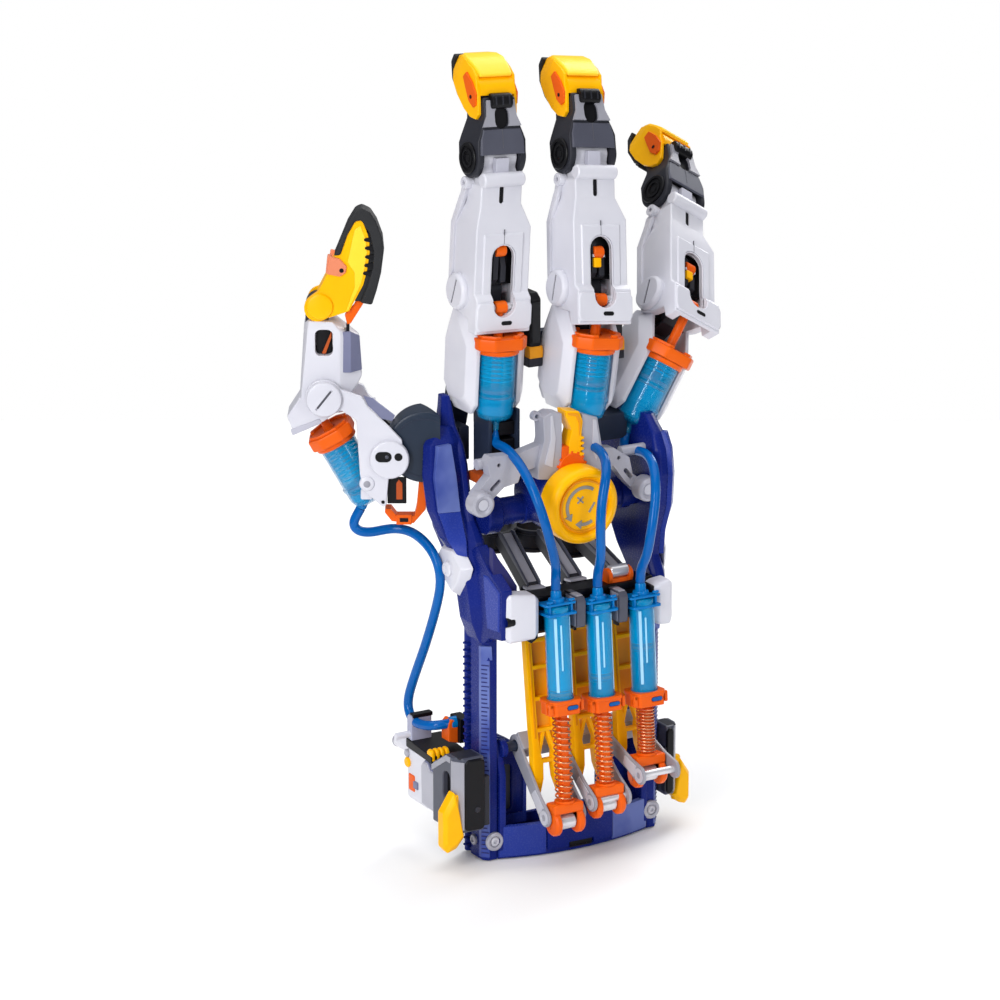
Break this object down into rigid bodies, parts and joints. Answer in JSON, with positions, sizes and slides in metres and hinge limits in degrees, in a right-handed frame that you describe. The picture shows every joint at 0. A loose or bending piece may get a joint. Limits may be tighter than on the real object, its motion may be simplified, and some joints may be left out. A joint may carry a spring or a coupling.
{
  "type": "hydraulic arm kit",
  "caption": "Wearable three-finger and thumb robot hand: water cylinders on two side frames bend jointed fingers by tubes from finger-pulled input rods",
  "frame": {"origin": "middle of the wrist opening, on the base's bottom plane", "axes": "+Z points to the fingertips, -Y is the back of the hand, +X is the ring-finger side"},
  "size_m": [0.2315, 0.1536, 0.3655],
  "materials": {
    "deep_blue_plastic": "moulded",
    "navy_plastic": "moulded",
    "white_plastic": "moulded",
    "grey_plastic": "moulded",
    "silver_plastic": "moulded",
    "black_plastic": "moulded",
    "yellow_plastic": "moulded",
    "orange_plastic": "moulded",
    "spring_copper": "drawn wire",
    "blue_clear_plastic": "moulded"
  },
  "bodies": {
    "frame": {"base_cradle": "deep_blue_plastic", "side_frame_left": "deep_blue_plastic", "side_frame_right": "deep_blue_plastic", "knuckle_bar": "navy_plastic", "crossbar_hub": "deep_blue_plastic", "tube_bracket": "black_plastic", "thumb_drum": "navy_plastic", "index_input_cylinder": "blue_clear_plastic", "index_spring": "spring_copper", "index_tube": "blue_clear_plastic", "middle_input_cylinder": "blue_clear_plastic", "middle_spring": "spring_copper", "middle_tube": "blue_clear_plastic", "ring_input_cylinder": "blue_clear_plastic", "ring_spring": "spring_copper", "ring_tube": "blue_clear_plastic", "thumb_tube": "blue_clear_plastic"},
    "index_mount": {"index_mount": "white_plastic", "index_output_cylinder": "blue_clear_plastic"},
    "index_output_rod": {"index_output_rod": "orange_plastic"},
    "index_proximal": {"index_proximal": "white_plastic"},
    "index_middle_phalanx": {"index_middle_phalanx": "grey_plastic"},
    "index_fingertip": {"index_fingertip": "yellow_plastic"},
    "index_input_rod": {"index_input_rod": "orange_plastic"},
    "index_crank": {"index_crank": "silver_plastic"},
    "index_truss_link": {"index_truss_link": "yellow_plastic"},
    "index_ring_lever": {"index_ring_lever": "grey_plastic"},
    "middle_mount": {"middle_mount": "white_plastic", "middle_output_cylinder": "blue_clear_plastic"},
    "middle_output_rod": {"middle_output_rod": "orange_plastic"},
    "middle_proximal": {"middle_proximal": "white_plastic"},
    "middle_middle_phalanx": {"middle_middle_phalanx": "grey_plastic"},
    "middle_fingertip": {"middle_fingertip": "yellow_plastic"},
    "middle_input_rod": {"middle_input_rod": "orange_plastic"},
    "middle_crank": {"middle_crank": "silver_plastic"},
    "middle_truss_link": {"middle_truss_link": "yellow_plastic"},
    "middle_ring_lever": {"middle_ring_lever": "grey_plastic"},
    "ring_mount": {"ring_mount": "white_plastic", "ring_output_cylinder": "blue_clear_plastic"},
    "ring_output_rod": {"ring_output_rod": "orange_plastic"},
    "ring_proximal": {"ring_proximal": "white_plastic"},
    "ring_middle_phalanx": {"ring_middle_phalanx": "grey_plastic"},
    "ring_fingertip": {"ring_fingertip": "yellow_plastic"},
    "ring_input_rod": {"ring_input_rod": "orange_plastic"},
    "ring_crank": {"ring_crank": "silver_plastic"},
    "ring_truss_link": {"ring_truss_link": "yellow_plastic"},
    "ring_ring_lever": {"ring_ring_lever": "grey_plastic"},
    "thumb_bracket": {"thumb_bracket": "white_plastic", "thumb_output_cylinder": "blue_clear_plastic"},
    "thumb_output_rod": {"thumb_output_rod": "orange_plastic"},
    "thumb_phalanx": {"thumb_phalanx": "white_plastic"},
    "thumb_tip": {"thumb_tip": "yellow_plastic"},
    "slider_left": {"slider_clamp_left": "grey_plastic", "thumb_input_housing": "grey_plastic"},
    "slider_right": {"slider_clamp_right": "grey_plastic"},
    "plunger": {"thumb_input_plunger": "white_plastic"},
    "wing_left": {"wing_lever_left": "yellow_plastic"},
    "wing_right": {"wing_lever_right": "yellow_plastic"},
    "dial": {"dial": "yellow_plastic"},
    "rack": {"adjust_rack": "yellow_plastic"}
  },
  "joints": [
    {"name": "index_splay", "type": "hinge", "parent": "frame", "child": "index_mount", "pos_m": [-0.028, 0, 0.229], "axis": [0, 1, 0], "range_deg": [-3, 3], "deforming": ["index_tube"]},
    {"name": "index_bend", "type": "hinge", "parent": "index_mount", "child": "index_proximal", "pos_m": [-0.02643, 0, 0.25896], "axis": [-0.9986, 0, 0.0523], "range_deg": [0, 60], "stiffness_Nm_per_rad": 0.15},
    {"name": "index_rod_slide", "type": "slide", "parent": "index_mount", "child": "index_output_rod", "axis": [0.0523, 0, 0.9986], "range_m": [-0.0001, 0.01308]},
    {"name": "index_middle_joint", "type": "hinge", "parent": "index_proximal", "child": "index_middle_phalanx", "pos_m": [-0.02329, 0, 0.31888], "axis": [-0.9986, 0, 0.0523], "range_deg": [-15, 50]},
    {"name": "index_tip_joint", "type": "hinge", "parent": "index_middle_phalanx", "child": "index_fingertip", "pos_m": [-0.0218, 0.00553, 0.3473], "axis": [-0.9986, 0, 0.0523], "range_deg": [-12.1, 40.1]},
    {"name": "index_input_slide", "type": "slide", "parent": "frame", "child": "index_input_rod", "axis": [0, 0.0872, 0.9962], "range_m": [-0.0001, 0.02733], "deforming": ["index_spring"]},
    {"name": "index_crank_pivot", "type": "hinge", "parent": "frame", "child": "index_crank", "pos_m": [-0.0192, -0.03, 0.052], "axis": [-1, 0, 0], "range_deg": [-0.1, 41.1]},
    {"name": "index_link_slide", "type": "slide", "parent": "frame", "child": "index_truss_link", "axis": [0, 0.1392, 0.9903], "range_m": [-0.0001, 0.0111]},
    {"name": "index_lever_pivot", "type": "hinge", "parent": "frame", "child": "index_ring_lever", "pos_m": [-0.0192, -0.026, 0.124], "axis": [-1, 0, 0], "range_deg": [-0.1, 30.1]},
    {"name": "middle_splay", "type": "hinge", "parent": "frame", "child": "middle_mount", "pos_m": [0.014, -0.013, 0.227], "axis": [0, 1, 0], "range_deg": [-3, 3], "deforming": ["middle_tube"]},
    {"name": "middle_bend", "type": "hinge", "parent": "middle_mount", "child": "middle_proximal", "pos_m": [0.01766, -0.013, 0.25678], "axis": [-0.9925, 0, 0.1219], "range_deg": [-14, 46], "stiffness_Nm_per_rad": 0.15},
    {"name": "middle_rod_slide", "type": "slide", "parent": "middle_mount", "child": "middle_output_rod", "axis": [0.1219, 0, 0.9925], "range_m": [-0.00313, 0.01005]},
    {"name": "middle_middle_joint", "type": "hinge", "parent": "middle_proximal", "child": "middle_middle_phalanx", "pos_m": [0.02475, 0.00152, 0.31456], "axis": [-0.9925, 0, 0.1219], "range_deg": [-15, 50]},
    {"name": "middle_tip_joint", "type": "hinge", "parent": "middle_middle_phalanx", "child": "middle_fingertip", "pos_m": [0.02798, 0.01331, 0.34086], "axis": [-0.9925, 0, 0.1219], "range_deg": [-12.1, 40.1]},
    {"name": "middle_input_slide", "type": "slide", "parent": "frame", "child": "middle_input_rod", "axis": [0, 0.0872, 0.9962], "range_m": [-0.00645, 0.02097], "deforming": ["middle_spring"]},
    {"name": "middle_crank_pivot", "type": "hinge", "parent": "frame", "child": "middle_crank", "pos_m": [0.0026, -0.03, 0.052], "axis": [-1, 0, 0], "range_deg": [-9.67, 31.53]},
    {"name": "middle_link_slide", "type": "slide", "parent": "frame", "child": "middle_truss_link", "axis": [0, 0.1392, 0.9903], "range_m": [-0.00267, 0.00853]},
    {"name": "middle_lever_pivot", "type": "hinge", "parent": "frame", "child": "middle_ring_lever", "pos_m": [0.0026, -0.026, 0.124], "axis": [-1, 0, 0], "range_deg": [-7.1, 23.1]},
    {"name": "ring_splay", "type": "hinge", "parent": "frame", "child": "ring_mount", "pos_m": [0.057, 0, 0.213], "axis": [0, 1, 0], "range_deg": [-3, 3], "deforming": ["ring_tube"]},
    {"name": "ring_bend", "type": "hinge", "parent": "ring_mount", "child": "ring_proximal", "pos_m": [0.07245, 0, 0.23872], "axis": [-0.8572, 0, 0.515], "range_deg": [-40, 20], "stiffness_Nm_per_rad": 0.15},
    {"name": "ring_rod_slide", "type": "slide", "parent": "ring_mount", "child": "ring_output_rod", "axis": [0.515, 0, 0.8572], "range_m": [-0.00876, 0.00443]},
    {"name": "ring_middle_joint", "type": "hinge", "parent": "ring_proximal", "child": "ring_middle_phalanx", "pos_m": [0.09612, 0.03857, 0.27811], "axis": [-0.8572, 0, 0.515], "range_deg": [-15, 50]},
    {"name": "ring_tip_joint", "type": "hinge", "parent": "ring_middle_phalanx", "child": "ring_fingertip", "pos_m": [0.10592, 0.06045, 0.29442], "axis": [-0.8572, 0, 0.515], "range_deg": [-12.1, 40.1]},
    {"name": "ring_input_slide", "type": "slide", "parent": "frame", "child": "ring_input_rod", "axis": [0, 0.0872, 0.9962], "range_m": [-0.01825, 0.00918], "deforming": ["ring_spring"]},
    {"name": "ring_crank_pivot", "type": "hinge", "parent": "frame", "child": "ring_crank", "pos_m": [0.0252, -0.03, 0.052], "axis": [-1, 0, 0], "range_deg": [-27.43, 13.77]},
    {"name": "ring_link_slide", "type": "slide", "parent": "frame", "child": "ring_truss_link", "axis": [0, 0.1392, 0.9903], "range_m": [-0.00743, 0.00377]},
    {"name": "ring_lever_pivot", "type": "hinge", "parent": "frame", "child": "ring_ring_lever", "pos_m": [0.0252, -0.026, 0.124], "axis": [-1, 0, 0], "range_deg": [-20.1, 10.1]},
    {"name": "thumb_swing", "type": "hinge", "parent": "frame", "child": "thumb_bracket", "pos_m": [-0.06871, 0.01365, 0.1856], "axis": [0.5, 0.866, 0], "range_deg": [-16, 0], "deforming": ["thumb_tube"]},
    {"name": "thumb_bend", "type": "hinge", "parent": "thumb_bracket", "child": "thumb_phalanx", "pos_m": [-0.09374, 0.0281, 0.2136], "axis": [0.5, 0.866, 0], "range_deg": [0, 20], "stiffness_Nm_per_rad": 0.15},
    {"name": "thumb_rod_slide", "type": "slide", "parent": "thumb_bracket", "child": "thumb_output_rod", "axis": [-0.4251, 0.2455, 0.8712], "range_m": [-0.0001, 0.00307]},
    {"name": "thumb_tip_joint", "type": "hinge", "parent": "thumb_phalanx", "child": "thumb_tip", "pos_m": [-0.09599, 0.0294, 0.2543], "axis": [0.5, 0.866, 0], "range_deg": [-15, 12]},
    {"name": "slider_left_travel", "type": "slide", "parent": "frame", "child": "slider_left", "axis": [0, 0, 1], "range_m": [-0.008, 0.03], "deforming": ["thumb_tube"]},
    {"name": "slider_right_travel", "type": "slide", "parent": "frame", "child": "slider_right", "axis": [0, 0, 1], "range_m": [-0.008, 0.03]},
    {"name": "plunger_slide", "type": "slide", "parent": "slider_left", "child": "plunger", "axis": [0, -1, 0], "range_m": [-0.0001, 0.00342]},
    {"name": "wing_left_lock", "type": "hinge", "parent": "slider_left", "child": "wing_left", "pos_m": [-0.0626, -0.034, 0.024], "axis": [0, 0, -1], "range_deg": [0, 60]},
    {"name": "wing_right_lock", "type": "hinge", "parent": "slider_right", "child": "wing_right", "pos_m": [0.0576, -0.03, 0.02], "axis": [0, 0, 1], "range_deg": [0, 60]},
    {"name": "dial_turn", "type": "hinge", "parent": "frame", "child": "dial", "pos_m": [-0.003, -0.0486, 0.166], "axis": [0, 1, 0], "range_deg": [-20, 90]},
    {"name": "rack_slide", "type": "slide", "parent": "frame", "child": "rack", "axis": [0, 0, 1], "range_m": [-0.00185, 0.00795]}
  ],
  "couplings": [
    {"joint": "index_rod_slide", "follows": "index_bend", "m_per_rad": 0.0124},
    {"joint": "index_tip_joint", "follows": "index_middle_joint", "ratio": 0.8},
    {"joint": "index_input_slide", "follows": "index_bend", "m_per_rad": 0.026},
    {"joint": "index_crank_pivot", "follows": "index_bend", "ratio": 0.6833},
    {"joint": "index_link_slide", "follows": "index_bend", "m_per_rad": 0.0105},
    {"joint": "index_lever_pivot", "follows": "index_bend", "ratio": 0.5},
    {"joint": "middle_rod_slide", "follows": "middle_bend", "m_per_rad": 0.0124},
    {"joint": "middle_tip_joint", "follows": "middle_middle_joint", "ratio": 0.8},
    {"joint": "middle_input_slide", "follows": "middle_bend", "m_per_rad": 0.026},
    {"joint": "middle_crank_pivot", "follows": "middle_bend", "ratio": 0.6833},
    {"joint": "middle_link_slide", "follows": "middle_bend", "m_per_rad": 0.0105},
    {"joint": "middle_lever_pivot", "follows": "middle_bend", "ratio": 0.5},
    {"joint": "ring_rod_slide", "follows": "ring_bend", "m_per_rad": 0.0124},
    {"joint": "ring_tip_joint", "follows": "ring_middle_joint", "ratio": 0.8},
    {"joint": "ring_input_slide", "follows": "ring_bend", "m_per_rad": 0.026},
    {"joint": "ring_crank_pivot", "follows": "ring_bend", "ratio": 0.6833},
    {"joint": "ring_link_slide", "follows": "ring_bend", "m_per_rad": 0.0105},
    {"joint": "ring_lever_pivot", "follows": "ring_bend", "ratio": 0.5},
    {"joint": "thumb_rod_slide", "follows": "thumb_bend", "m_per_rad": 0.0085},
    {"joint": "plunger_slide", "follows": "thumb_bend", "m_per_rad": 0.0095},
    {"joint": "rack_slide", "follows": "dial_turn", "m_per_rad": 0.005}
  ]
}
